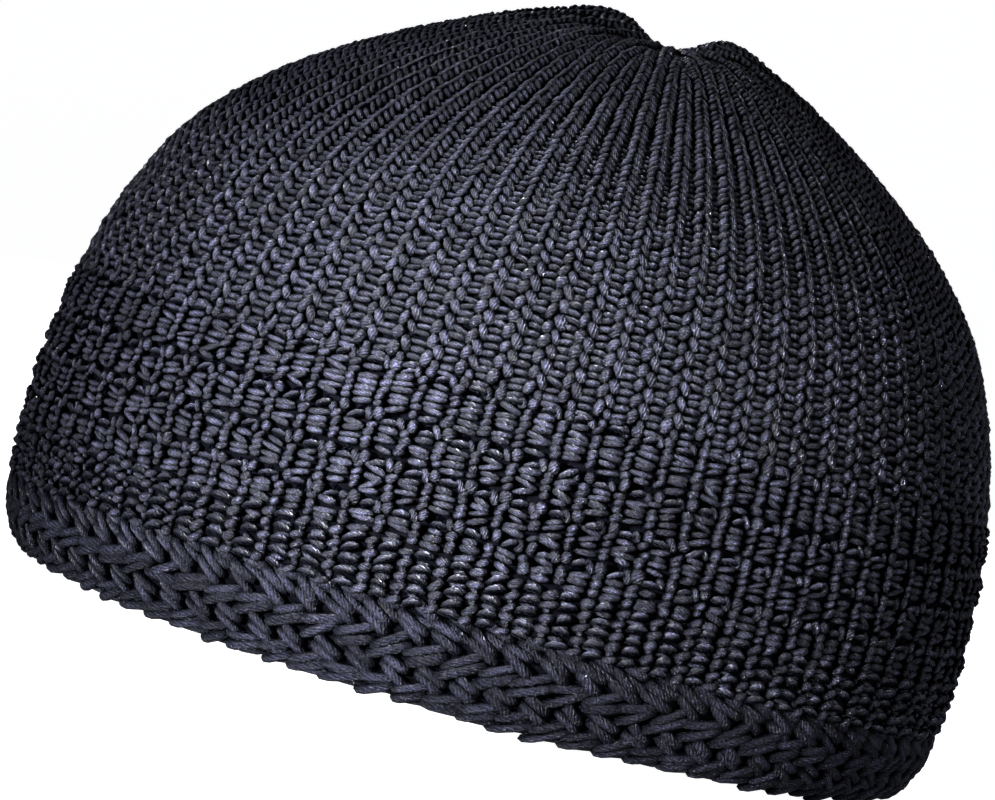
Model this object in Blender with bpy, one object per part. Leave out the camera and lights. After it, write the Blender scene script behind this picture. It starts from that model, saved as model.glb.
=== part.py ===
"""A knitted kufi: a ribbed dome gathered at its top, over a rim of two flat braids.

The cap stands on its rim. +X points to the back of the head, -X to the forehead, +Z up.
"""

import math

import bmesh
import bpy
import numpy as np

# Overall sizes in metres, outside, at the widest course of knitting
CAP_LENGTH = 0.204
CAP_WIDTH = 0.172
CAP_HEIGHT = 0.1400

# Knitted wall
KNIT_THICKNESS = 0.0030
RIB_COUNT = 84
RIB_DEPTH = 0.0011
BAND_DEPTH = 0.0010
COURSE_LIFT = 0.0022

# Gathered top
GATHER_OFFSET = 0.0080
DIMPLE_DEPTH = 0.0045
DIMPLE_RADIUS = 0.0065
HUMP_HEIGHT = 0.0026
HUMP_DISTANCE = 0.0140
RIBS_IN_A_PLEAT = 4
PLEAT_DEPTH = 0.0022
PLEAT_REACH = 0.0420

# Braided rim
UPPER_BRAID_HEIGHT = 0.0080
LOWER_BRAID_HEIGHT = 0.0085
BRAID_THICKNESS = 0.0040
STRAND_RELIEF = 0.0010
STRAND_SLANT = 1.5

# Clearance between neighbouring pieces
PIECE_GAP = 0.0003

# Outline of the dome, from its rim to its gathered centre.
# height is a share of CAP_HEIGHT, girth a share of half of CAP_LENGTH and of CAP_WIDTH.
OUTLINE_COLUMNS = ("height", "girth")
OUTLINE = (
    (0.000, 0.928),
    (0.032, 0.964),
    (0.090, 0.988),
    (0.210, 1.000),
    (0.330, 0.993),
    (0.450, 0.965),
    (0.570, 0.915),
    (0.690, 0.828),
    (0.808, 0.668),
    (0.918, 0.438),
    (0.980, 0.245),
    (1.000, 0.000),
)

# Courses of the crown that the outer face passes through, from its lower edge to its centre.
# way is a share of the way up the crown, rib a share of RIB_DEPTH, band a share of BAND_DEPTH.
COURSE_COLUMNS = ("way", "rib", "band")
COURSES = (
    (0.000, 0.10, 0.6),
    (0.080, 0.20, 0.0),
    (0.100, 0.10, 1.0),
    (0.122, 0.25, 0.0),
    (0.144, 0.10, 1.0),
    (0.167, 0.30, 0.0),
    (0.190, 0.10, 1.0),
    (0.219, 0.40, 0.0),
    (0.248, 0.20, 1.0),
    (0.275, 0.60, 0.0),
    (0.340, 0.90, 0.0),
    (0.420, 1.00, 0.0),
    (0.500, 1.00, 0.0),
    (0.580, 1.00, 0.0),
    (0.660, 1.00, 0.0),
    (0.740, 1.00, 0.0),
    (0.810, 0.85, 0.0),
    (0.870, 0.65, 0.0),
    (0.920, 0.45, 0.0),
    (0.960, 0.25, 0.0),
    (0.985, 0.10, 0.0),
)

# Courses of the smooth inner face, as shares of the way up the crown
INNER_COURSES = (0.0, 0.12, 0.25, 0.39, 0.52, 0.65, 0.77, 0.87, 0.93)

# Outer face of a braid, from its lower edge to its upper edge.
# rise is a share of the braid's height, sink a share of STRAND_RELIEF by which the face lies
# inside the outline, strand a share of STRAND_RELIEF, slant a share of STRAND_SLANT.
STRAND_COLUMNS = ("rise", "sink", "strand", "slant")
STRANDS = (
    (0.00, 0.9, 0.4, 0.0),
    (0.25, 0.0, 1.0, 0.5),
    (0.50, 0.4, 0.6, 1.0),
    (0.75, 0.0, 1.0, 0.5),
    (1.00, 0.9, 0.4, 0.0),
)

HALF_LENGTH = CAP_LENGTH / 2
HALF_WIDTH = CAP_WIDTH / 2
COLUMN_COUNT = 2 * RIB_COUNT
COLUMNS_TO_AN_INNER_COLUMN = 4
RIM_HEIGHT = LOWER_BRAID_HEIGHT + PIECE_GAP + UPPER_BRAID_HEIGHT
CROWN_EDGE = RIM_HEIGHT + PIECE_GAP

OUTLINE_SAMPLES = 40
ROUND_SAMPLES = 720
NORMAL_STEP = 0.0005
SHARP_ANGLE = math.radians(50)


def named_rows(columns, rows):
    """A dictionary of columns, each an array with one value a row."""
    return dict(zip(columns, np.array(rows, dtype=float).T))


def smooth_outline():
    """Radius share and height along the outline, with the distance walked from the rim."""
    table = named_rows(OUTLINE_COLUMNS, OUTLINE)
    points = np.stack([table["girth"], table["height"] * CAP_HEIGHT], axis=1)
    mirrored_end = points[-2] * (-1, 1)
    padded = np.vstack([2 * points[0] - points[1], points, mirrored_end])
    t = np.linspace(0, 1, OUTLINE_SAMPLES, endpoint=False)[:, None]
    curve = []
    for before, start, end, after in zip(padded, padded[1:], padded[2:], padded[3:]):
        curve.append(
            start
            + 0.5 * t * (end - before)
            + t ** 2 * (before - 2.5 * start + 2 * end - 0.5 * after)
            + 0.5 * t ** 3 * (after - before + 3 * (start - end))
        )
    curve = np.vstack(curve + [points[-1:]])
    steps = np.diff(curve, axis=0) * (HALF_LENGTH, 1)
    walked = np.concatenate([[0], np.cumsum(np.hypot(steps[:, 0], steps[:, 1]))])
    return curve[:, 0], curve[:, 1], walked


GIRTH, HEIGHT, WALKED = smooth_outline()
WALK_LENGTH = WALKED[-1]


def even_angles(count):
    """Angles round the oval that are evenly spaced along its edge, from +X anticlockwise."""
    angles = np.linspace(0, 2 * math.pi, ROUND_SAMPLES + 1)
    speed = np.hypot(HALF_LENGTH * np.sin(angles), HALF_WIDTH * np.cos(angles))
    middle = (speed[1:] + speed[:-1]) / 2
    edge = np.concatenate([[0], np.cumsum(middle)])
    return lambda index: np.interp(np.asarray(index) % count * edge[-1] / count, edge, angles)


column_angle = even_angles(COLUMN_COUNT)


def gather_share(girth):
    """How far the centre of a course has moved from the axis to the gather, from 0 to 1."""
    return np.clip(1 - girth, 0, 1) ** 1.5


def smooth_dome(angle, walked):
    """Point of the dome without its ribs, at an angle and a distance walked up the outline."""
    girth = np.interp(walked, WALKED, GIRTH)
    height = np.interp(walked, WALKED, HEIGHT)
    x = girth * HALF_LENGTH * np.cos(angle)
    y = girth * HALF_WIDTH * np.sin(angle)
    reach = np.hypot(x, y)
    hump = (reach / HUMP_DISTANCE) ** 2 * np.exp(1 - (reach / HUMP_DISTANCE) ** 2)
    dimple = np.exp(-(reach / DIMPLE_RADIUS) ** 2)
    height = height + HUMP_HEIGHT * np.cos(2 * angle) * hump - DIMPLE_DEPTH * dimple
    return np.stack([x + GATHER_OFFSET * gather_share(girth), y, height], axis=-1)


def dome_point(angle, walked, outward):
    """Point that lies a distance outward from the smooth dome, square to it."""
    base = smooth_dome(angle, walked)
    round_step = smooth_dome(angle + NORMAL_STEP, walked) - smooth_dome(angle - NORMAL_STEP, walked)
    ahead = np.minimum(walked + NORMAL_STEP, WALK_LENGTH * 0.9999)
    up_step = smooth_dome(angle, ahead) - smooth_dome(angle, walked - NORMAL_STEP)
    normal = np.cross(round_step, up_step)
    normal = normal / np.linalg.norm(normal, axis=-1, keepdims=True)
    return base + normal * np.asarray(outward)[..., None]


def walked_at_height(height):
    """Distance walked up the outline to reach a height on the sides of the dome."""
    sides = HEIGHT < CAP_HEIGHT * 0.9
    return np.interp(height, HEIGHT[sides], WALKED[sides])


def course_lift(angle):
    """Share by which courses near the rim ride up, highest over the ears."""
    return -np.cos(2 * angle)


def rim_height_at(angle, height):
    """Height of a course of the rim, lifted over the ears in step with its height."""
    return height * (1 + COURSE_LIFT / RIM_HEIGHT * course_lift(angle))


def rim_points(angle, height, outward):
    """Points of the rim at given heights, a distance outward from the smooth dome."""
    points = dome_point(angle, walked_at_height(height), outward)
    points[:, 2] = height
    return points


def crown_walk(angle, way):
    """Distance walked at a share of the way up the crown, from its wavy lower edge."""
    edge = walked_at_height(CROWN_EDGE)
    fade = (1 - way) ** 3
    return edge + way * (WALK_LENGTH - edge) + COURSE_LIFT * fade * course_lift(angle)


def crown_face(column, way, rib, band):
    """One ring of points on the outer face of the crown."""
    angle = column_angle(column)
    walked = crown_walk(angle, way)
    girth = np.interp(walked, WALKED, GIRTH)
    reach = girth * (HALF_LENGTH + HALF_WIDTH) / 2
    ridge = np.cos(math.pi * column)
    pleat = np.cos(math.pi * column / RIBS_IN_A_PLEAT)
    pleat_share = np.clip(1 - reach / PLEAT_REACH, 0, 1) * np.clip(reach / DIMPLE_RADIUS, 0, 1)
    outward = rib * RIB_DEPTH * (ridge - 1) / 2
    outward = outward - band * BAND_DEPTH + pleat_share * PLEAT_DEPTH * (pleat - 1) / 2
    return dome_point(angle, walked, outward)


def new_ring(bm, points):
    """Adds a ring of vertices."""
    return [bm.verts.new(point) for point in points]


def join_rings(bm, fine, coarse):
    """Faces between two rings, the first of which may be several times as fine as the second."""
    share = len(fine) // len(coarse)
    for index, corner in enumerate(coarse):
        next_corner = coarse[(index + 1) % len(coarse)]
        first = index * share
        if share == 1:
            bm.faces.new((fine[first], fine[(first + 1) % len(fine)], next_corner, corner))
            continue
        for step in range(share):
            bm.faces.new((fine[first + step], fine[(first + step + 1) % len(fine)], corner))
        bm.faces.new((fine[(first + share) % len(fine)], next_corner, corner))


def join_to_point(bm, ring, point):
    """A fan of faces from a ring to one point."""
    tip = bm.verts.new(point)
    for index, corner in enumerate(ring):
        bm.faces.new((corner, ring[(index + 1) % len(ring)], tip))


def yarn_material(name, color, roughness):
    """A plain yarn finish."""
    material = bpy.data.materials.new(name)
    material.use_nodes = True
    shader = material.node_tree.nodes["Principled BSDF"]
    shader.inputs["Base Color"].default_value = (*color, 1.0)
    shader.inputs["Roughness"].default_value = roughness
    shader.inputs["Metallic"].default_value = 0.0
    return material


def finish_object(name, bm, material):
    """Turns the faces outward and links the mesh as a named object."""
    bmesh.ops.recalc_face_normals(bm, faces=bm.faces)
    mesh = bpy.data.meshes.new(name)
    bm.to_mesh(mesh)
    bm.free()
    mesh.shade_smooth()
    mesh.set_sharp_from_angle(angle=SHARP_ANGLE)
    mesh.materials.append(material)
    piece = bpy.data.objects.new(name, mesh)
    bpy.context.collection.objects.link(piece)
    return piece


def build_crown(material):
    """The knitted dome: a ribbed outer face, a smooth inner face and an open lower edge."""
    bm = bmesh.new()
    columns = np.arange(COLUMN_COUNT, dtype=float)
    table = named_rows(COURSE_COLUMNS, COURSES)
    outer = []
    for way, rib, band in zip(table["way"], table["rib"], table["band"]):
        outer.append(new_ring(bm, crown_face(columns, way, rib, band)))
    for below, above in zip(outer, outer[1:]):
        join_rings(bm, below, above)
    tip = smooth_dome(0.0, WALK_LENGTH)
    join_to_point(bm, outer[-1], tip)

    angle = column_angle(columns[::COLUMNS_TO_AN_INNER_COLUMN])
    inner = []
    for way in INNER_COURSES:
        points = dome_point(angle, crown_walk(angle, way), np.full(len(angle), -KNIT_THICKNESS))
        inner.append(new_ring(bm, points))
    for below, above in zip(inner, inner[1:]):
        join_rings(bm, below, above)
    join_to_point(bm, inner[-1], tip - np.array([0, 0, KNIT_THICKNESS]))
    join_rings(bm, outer[0], inner[0])
    return finish_object("crown", bm, material)


def build_braid(name, low, high, material):
    """A flat braid round the rim: two rows of slanted strands that meet in chevrons."""
    bm = bmesh.new()
    columns = np.arange(COLUMN_COUNT, dtype=float)
    table = named_rows(STRAND_COLUMNS, STRANDS)
    outer = []
    for rise, sink, strand, slant in zip(*(table[column] for column in STRAND_COLUMNS)):
        angle = column_angle(columns + 2 * STRAND_SLANT * slant)
        height = rim_height_at(angle, low + rise * (high - low))
        outward = STRAND_RELIEF * (strand * (np.cos(math.pi * columns) - 1) / 2 - sink)
        outer.append(new_ring(bm, rim_points(angle, height, outward)))
    for below, above in zip(outer, outer[1:]):
        join_rings(bm, below, above)

    angle = column_angle(columns[::COLUMNS_TO_AN_INNER_COLUMN])
    inward = np.full(len(angle), -BRAID_THICKNESS)
    inner_low = new_ring(bm, rim_points(angle, rim_height_at(angle, low), inward))
    inner_high = new_ring(bm, rim_points(angle, rim_height_at(angle, high), inward))
    join_rings(bm, inner_low, inner_high)
    join_rings(bm, outer[0], inner_low)
    join_rings(bm, outer[-1], inner_high)
    return finish_object(name, bm, material)


def clear_scene():
    """Removes the objects that a new scene holds."""
    for item in list(bpy.data.objects):
        bpy.data.objects.remove(item, do_unlink=True)


def main():
    """Builds the three pieces of the cap."""
    clear_scene()
    knit = yarn_material("knit_yarn", (0.012, 0.013, 0.019), 0.55)
    braid = yarn_material("braid_yarn", (0.010, 0.011, 0.016), 0.50)
    build_crown(knit)
    upper_low = LOWER_BRAID_HEIGHT + PIECE_GAP
    build_braid("upper_braid", upper_low, RIM_HEIGHT, braid)
    build_braid("lower_braid", 0.0, LOWER_BRAID_HEIGHT, braid)


main()
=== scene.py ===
"""Dresses the solids of a knitted kufi in loops of yarn, and sets it on a pale floor.

The cap is knitted from one near-black yarn, with two flat braids round its rim. Each loop that shows is
one grain of yarn: a short closed spindle that lies along the yarn. The grains' places are worked out from
the form of the dome, and one Geometry Nodes tree sets a grain on each of them.
"""

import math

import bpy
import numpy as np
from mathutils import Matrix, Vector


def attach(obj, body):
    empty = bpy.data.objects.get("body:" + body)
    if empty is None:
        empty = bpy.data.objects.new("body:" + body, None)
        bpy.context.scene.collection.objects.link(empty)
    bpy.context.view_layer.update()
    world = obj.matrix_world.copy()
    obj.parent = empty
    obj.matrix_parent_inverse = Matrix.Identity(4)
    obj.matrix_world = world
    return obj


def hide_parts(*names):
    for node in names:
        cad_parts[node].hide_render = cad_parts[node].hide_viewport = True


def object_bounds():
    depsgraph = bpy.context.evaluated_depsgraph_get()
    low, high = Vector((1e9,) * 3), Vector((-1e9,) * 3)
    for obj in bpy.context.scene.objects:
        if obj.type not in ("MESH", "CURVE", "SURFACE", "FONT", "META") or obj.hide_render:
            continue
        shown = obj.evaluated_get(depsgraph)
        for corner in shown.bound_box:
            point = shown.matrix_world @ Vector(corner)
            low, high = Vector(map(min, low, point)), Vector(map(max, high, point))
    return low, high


bl_info = {
    "name": "Knitted Kufi",
    "version": (1, 0, 0),
    "blender": (4, 5, 0),
    "location": "View3D > Sidebar > Kufi",
    "description": "Knits the yarn of a ribbed skullcap over its solids, with a braided rim",
    "category": "Add Mesh",
}

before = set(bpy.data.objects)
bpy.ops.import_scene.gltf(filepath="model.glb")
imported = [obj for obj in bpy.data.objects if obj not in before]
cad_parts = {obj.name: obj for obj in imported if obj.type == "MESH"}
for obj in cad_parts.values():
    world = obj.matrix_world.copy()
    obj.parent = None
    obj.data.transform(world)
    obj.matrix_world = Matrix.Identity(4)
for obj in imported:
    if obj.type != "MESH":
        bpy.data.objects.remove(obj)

CAD_LOW, CAD_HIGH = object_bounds()
BODY = "root"

# Outline of the dome, from its rim to its gathered centre.
# height is a share of the cap's height, girth a share of half its length and width.
OUTLINE_COLUMNS = ("height", "girth")
OUTLINE = (
    (0.000, 0.928),
    (0.032, 0.964),
    (0.090, 0.988),
    (0.210, 1.000),
    (0.330, 0.993),
    (0.450, 0.965),
    (0.570, 0.915),
    (0.690, 0.828),
    (0.808, 0.668),
    (0.918, 0.438),
    (0.980, 0.245),
    (1.000, 0.000),
)
OUTLINE_SAMPLES = 40

# Share of the cap's height up to which heights are looked up on its sides
SIDE_SHARE = 0.9

# Share of the way up to the gathered centre at which the knitting ends
CROWN_REACH = 0.985

# Samples round the oval, and the step in which a slope is measured, in radians and metres
ROUND_SAMPLES = 720
NORMAL_STEP = 0.0005

# Rows of knitting from the crown's lower edge to the foot of its ribs: the kind of their stitch, how many
# there are, and the height of one in metres
ROWS = (
    ("edge", 5, 0.00242),
    ("fine", 3, 0.00150),
    ("loose", 1, 0.00290),
    ("fine", 4, 0.00127),
    ("loose", 1, 0.00290),
    ("fine", 4, 0.00132),
    ("loose", 1, 0.00290),
    ("fine", 6, 0.00130),
    ("loose", 1, 0.00290),
)

# Height of one course of the ribs, in metres, at shares of the way up the crown
PITCH_COLUMNS = ("way", "pitch")
PITCHES = (
    (0.25, 0.00315),
    (0.35, 0.00310),
    (0.41, 0.00270),
    (0.48, 0.00190),
    (0.53, 0.00170),
    (1.00, 0.00160),
)

# How a leg of a rib's stitch lies where the courses are tight and where they are loose.
# tilt is its slant from upright in degrees. half, wide and thick are half its length, width and
# depth in metres. aside is its distance from the rib's middle, as a share of the rib's width, and
# rise the slope by which its upper end stands out.
LEG_COLUMNS = ("pitch", "tilt", "half", "wide", "thick", "aside", "rise")
LEGS = (
    (0.0017, 47.0, 0.00135, 0.00066, 0.00070, 0.235, 0.34),
    (0.0031, 27.0, 0.00176, 0.00118, 0.00106, 0.255, 0.10),
)
LEG_ARCH = 0.0002

# Loops of one row of each kind, in the order that they are laid.
# rib is a loop's place in ribs, rise its height over the row's middle as a share of the row's pitch, out
# its distance from the dome in metres, and tilt its slant from upright in degrees. half, wide and thick
# are half its length, width and depth in metres, and the shares are parts of the pitch added to them.
# arch is how far its middle is raised, outward, or upward as lean goes from 0 to 1.
LOOP_COLUMNS = (
    "rib", "rise", "out", "tilt", "half", "half_share", "wide", "wide_share", "thick", "arch", "lean"
)
LOOPS = {
    "edge": (
        (0.46, -0.15, -0.0003, 84, 0.00220, 0.0, 0.00090, 0.0, 0.00085, 0.0007, 0.62),
        (-0.04, 0.02, -0.0002, 68, 0.00165, 0.0, 0.00090, 0.0, 0.00085, 0.0004, 0.0),
        (-0.04, -0.40, -0.0011, -20, 0.00125, 0.0, 0.00075, 0.0, 0.00065, 0.0, 0.0),
        (0.46, 0.32, -0.0012, 92, 0.00190, 0.0, 0.00062, 0.0, 0.00060, 0.0003, 0.0),
    ),
    "fine": (
        (0.50, 0.00, -0.00074, 88, 0.0024, 0.0, 0.0, 0.54, 0.00078, 0.0002, 0.0),
        (0.02, 0.15, -0.00030, 62, 0.00125, 0.0, 0.0, 0.60, 0.00082, 0.0002, 0.0),
    ),
    "loose": (
        (0.10, 0.05, -0.0009, 14, 0.0, 0.50, 0.00125, 0.0, 0.00100, 0.0, 0.0),
        (-0.20, -0.10, -0.0011, -22, 0.0, 0.48, 0.00095, 0.0, 0.00085, 0.0, 0.0),
        (0.52, -0.28, -0.0010, 80, 0.0020, 0.0, 0.00075, 0.0, 0.00078, 0.0006, 0.5),
    ),
    "foot": (
        (0.14, 0.20, -0.0008, -10, 0.0012, 0.0, 0.00095, 0.0, 0.00085, 0.0, 0.0),
        (0.50, -0.70, -0.0012, 86, 0.0020, 0.0, 0.00070, 0.0, 0.00070, 0.0003, 0.0),
    ),
}

# How far loops stray from their places when unevenness is 1: in radians for tilt, in metres for out,
# round and up, and as a share of themselves for half and wide
SPREAD = {"tilt": 0.06, "out": 0.00006, "half": 0.045, "wide": 0.045, "round": 0.00006, "up": 0.00007}

# Height of the row of short loops at the foot of the ribs, in metres
FOOT_PITCH = 0.0010

# Space from rib to rib, in metres, at which the deepest rib of a pleat starts to hide and is gone, and
# the same for the two ribs beside it. No rib narrower than the last value shows.
DEEP_HIDES = (0.0029, 0.0021)
BESIDE_HIDES = (0.0017, 0.0011)
LEAST_RIB = 0.0009

# Space from rib to rib in metres, and how deep the bars between the ribs lie there
BAR_SINK = ((0.0050, 0.0062), (0.0011, 0.00035))

# How much deeper still a bar's middle lies, its slant in degrees, half its width as a share of the bars'
# pitch, half its depth and how far its middle is raised, in metres
BAR_DEEPER = 0.0006
BAR_TILT = 88
BAR_WIDE = 0.42
BAR_THICK = 0.00078
BAR_ARCH = 0.0003

# A loop on the inside of the crown: its slant in degrees, half its length as a share of the pitch, half
# its width and depth and how far its middle lies inside the wall, in metres, and the share of the way up
# at which the loops end
INNER_TILT = 24
INNER_HALF = 0.66
INNER_WIDE = 0.0017
INNER_THICK = 0.0010
INNER_STAND = 0.0001
INNER_REACH = 0.96

# The crown's backing: its rows of corners and its columns for each rib, the share of the pleats' depth that
# it follows, how far it sinks between the ribs outside and inside and behind the loose rows, in metres, and
# the space from rib to rib over which the sinking between them sets in
WALL_ROWS = 62
WALL_COLUMNS = 4
WALL_PLEAT = 0.6
GROOVE = 0.0004
INNER_GROOVE = 0.0003
LOOSE_GROOVE = 0.0008
GROOVE_SPAN = (0.0020, 0.0040)

# Distances from a loose row's middle, as shares of its pitch, between which the backing rises again
LOOSE_SPAN = (0.2, 0.9)

# Rows of strands on the outside of each braid, from its lower edge.
# Each row gives its height as a share of the braid's, its strands' slant from upright in degrees, half
# their length in metres, their place in ribs, and their distance from the dome in metres.
STRANDS = {
    "lower_braid": (
        (0.33, 88.0, 0.004452, 0.10, -0.0012),
        (0.40, 68.0, 0.004558, 0.00, -0.0006),
        (0.76, -62.0, 0.003604, 0.45, -0.0008),
    ),
    "upper_braid": (
        (0.22, 69.5, 0.004876, 0.20, -0.0005),
        (0.70, -63.0, 0.003922, 0.62, -0.0007),
        (0.96, -72.0, 0.003180, 0.90, -0.0013),
    ),
}

# Half a strand's width and depth and how far its middle is raised, in metres, and its slope
STRAND_SHAPE = {"wide": 0.00104, "thick": 0.00090, "arch": 0.0006, "dip": 0.05}

# Height and slant of the rows of strands on the inside of a braid, and the shape of those strands
INNER_STRANDS = ((0.34, 66.0), (0.74, -66.0))
INNER_STRAND_SHAPE = {"half": 0.0036, "wide": 0.0009, "thick": 0.0006, "arch": 0.0005}

# A braid's core: how far it stays above the braid's lower edge, below its outer side and below its inner
# side, in metres, how much it narrows where it lies lower than a height, and its rows and columns of
# corners, as for the backing
CORE_INSET = {"lower_braid": 0.0007, "upper_braid": -0.0002}
CORE_DEPTH = 0.0014
CORE_COVER = 0.0006
CORE_NARROWS = 0.0004
CORE_LOW = 0.0010
CORE_ROWS = 5
CORE_COLUMNS = 3

# How often each yarn's plies turn round a grain, how light it is beside the knit, and its gloss.
# The three are copies of one yarn: the bands' copy is painted lighter, as painted light, and the braids'
# copy darker and less glossy, as painted shade.
YARNS = {
    "satin_knit_yarn": (5.0, 1.0, 0.50),
    "satin_band_yarn": (5.0, 1.2, 0.50),
    "satin_braid_yarn": (9.0, 0.40, 0.22),
}

# Plies round a yarn, how far a speck shifts them in plies, and their height beside a speck's
PLY_COUNT = 8.0
PLY_WAVER = 0.35
PLY_HEIGHT = 0.50

# Fineness of a yarn's wear and of its specks in cells to the metre, and the values of noise between which
# a speck grows bright: lighter in colour as a painted glint, and smoother
WEAR_SCALE = 55.0
SPECK_SCALE = 1700.0
SPECK_SPAN = (0.36, 0.64)

# The backing, near black as painted shade between the outer loops: its gloss and roughness, the fineness
# of its specks, their height beside a stitch's, the heights that are darkest and lightest, so that its
# low relief is painted darker as shade, and the darkest colour as a share of the yarn's shade
BACKING_GLOSS = 0.04
BACKING_ROUGHNESS = 0.8
BACKING_SPECK_SCALE = 1800.0
BACKING_SPECK_HEIGHT = 0.6
BACKING_SPAN = (0.2, 1.5)
BACKING_DARKEST = 0.3

# What a yarn's lightness is made up of, each with its weight, and the sums that give dark and light.
# Tone and wear are the yarn's own; specks are painted glints, and plies painted highlights along the
# plies with painted shade between them.
LIGHTNESS = {"tone": 0.50, "wear": 0.45, "specks": 0.75, "plies": 0.26}
LIGHTNESS_SPAN = (0.40, 1.45)

# Shares of the way out to a grain's outermost line between which its yarn turns from black to its full
# colour, and between which it starts to mirror light: painted shade deep between grains, in its colour
# and in its reflections
CREVICE_SHADE_SPAN = (0.30, 0.90)
SHADE_SPAN = (0.25, 0.70)

# Roughness of a yarn without and with a bright speck
ROUGHNESS = (0.58, 0.27)

# The floor: steps in its curve, fineness of its grain in cells to the metre, its darker colour as a share of
# its own, and its roughness
FLOOR_STEPS = 16
FLOOR_GRAIN = 3.0
FLOOR_DARKER = 0.985
FLOOR_ROUGHNESS = 0.8

# Each light's place and what it looks at, the length of its side, and the angle that it spreads over
LIGHTS = {
    "key": ((-0.34, -0.46, 0.09), (-0.008, -0.078, 0.051), 0.12, 23.0),
    "fill": ((0.52, -0.62, 0.11), (0.02, 0.0, 0.05), 0.25, 180.0),
    "back": ((0.0, 0.95, 0.16), (0.0, 0.1, 0.06), 0.5, 60.0),
}


def size(name, text, default):
    """A length in metres that a user can set."""
    return bpy.props.FloatProperty(
        name=name, description=text, default=default, precision=5, unit="LENGTH", subtype="DISTANCE"
    )


def share(name, text, default):
    """A plain number that a user can set."""
    return bpy.props.FloatProperty(name=name, description=text, default=default, precision=3)


def count(name, text, default):
    """A whole number that a user can set."""
    return bpy.props.IntProperty(name=name, description=text, default=default, min=1)


def color(name, text, default):
    """A colour that a user can set."""
    return bpy.props.FloatVectorProperty(
        name=name, description=text, default=default, subtype="COLOR", size=3, min=0.0, max=1.0
    )


def turn(name, text, degrees):
    """An angle that a user can set, given here in degrees."""
    return bpy.props.FloatProperty(
        name=name, description=text, default=math.radians(degrees), subtype="ANGLE", unit="ROTATION"
    )


class KufiForm(bpy.types.PropertyGroup):
    """Sizes of the dome and the rim that the yarn lies on."""

    cap_length: size("Length", "Outside length, forehead to back", CAD_HIGH.x - CAD_LOW.x)
    cap_width: size("Width", "Outside width, ear to ear", CAD_HIGH.y - CAD_LOW.y)
    cap_height: size("Height", "Height of the dome without its humps", 0.1400)
    wall: size("Wall", "Thickness of the knitted wall", 0.0030)
    rib_count: count("Ribs", "Ribs round the cap", 84)
    course_lift: size("Course lift", "How far the courses near the rim ride up over the ears", 0.0022)
    gather_offset: size("Gather offset", "How far the gather lies towards the back", 0.0080)
    dimple_depth: size("Dimple depth", "Depth of the sunk centre", 0.0045)
    dimple_radius: size("Dimple radius", "Radius of the sunk centre", 0.0065)
    hump_height: size("Hump height", "Height of the two humps beside the gather", 0.0026)
    hump_distance: size("Hump distance", "Distance of the humps from the gather", 0.0140)
    pleat_ribs: count("Ribs in a pleat", "Ribs that gather into one pleat at the top", 4)
    pleat_depth: size("Pleat depth", "Depth of the pleats round the gather", 0.0022)
    pleat_reach: size("Pleat reach", "Distance from the gather at which the pleats end", 0.0420)
    upper_braid: size("Upper braid", "Height of the upper braid", 0.0080)
    lower_braid: size("Lower braid", "Height of the lower braid", 0.0085)
    braid_depth: size("Braid depth", "Thickness of the braids", 0.0040)
    gap: size("Gap", "Clearance between neighbouring pieces", 0.0003)


class KufiKnit(bpy.types.PropertyGroup):
    """Sizes of the yarn and the loops of the crown."""

    rib_width: size("Rib width", "Width of a rib where it lies open", 0.0040)
    rib_fill: share("Rib fill", "Most of the space between ribs that a rib can fill", 0.86)
    leg_out: size("Leg stand", "How far the ribs' outer side stands over the dome", 0.00018)
    closed_pitch: size("Closed pitch", "Space from rib to rib at which the ribs hide the bars", 0.0043)
    bar_pitch: size("Bar pitch", "Height of one bar between the ribs", 0.00158)
    bar_tuck: size("Bar tuck", "How far the ends of a bar reach under the ribs", 0.00050)
    inner_pitch: size("Inner pitch", "Height of one loop on the inside", 0.0030)
    backing: size("Backing", "How far the dark backing lies under the outer yarn", 0.0016)
    ribs_top: size("Top of the side ribs", "Distance up the crown where the side ribs end", 0.088)
    upper_top: size("Top of the upper ribs", "Distance up the crown where the upper ribs end", 0.122)
    strand_half_gap: size("Strand half gap", "Half the space between two doubled strands", 0.00082)
    unevenness: share("Unevenness", "How unevenly the loops of the ribs lie", 1.9)
    edge_unevenness: share("Edge unevenness", "Edge courses' unevenness, as a multiple of the ribs'", 1.4)
    band_unevenness: share("Band unevenness", "Bands' unevenness, as a multiple of the ribs'", 1.5)
    seed: count("Seed", "Seed of the unevenness", 7)


class KufiFinish(bpy.types.PropertyGroup):
    """Colours and fine relief of the yarn."""

    # shade is the near-black colour of the painted shade deep between grains, and of the backing's painted
    # shade
    shade: color("Shade", "Colour of the yarn's darkest loops", (0.0005, 0.0005, 0.0018))
    light: color("Light", "Colour of the yarn's lightest loops", (0.0900, 0.0885, 0.1480))
    sheen: color("Sheen", "Colour of the yarn's sheen", (0.78, 0.82, 1.00))
    yarn_bump: size("Yarn bump", "Height of the plies and specks on the yarn", 0.00020)
    backing_bump: size("Backing bump", "Height of the stitches on the backing", 0.00060)


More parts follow.
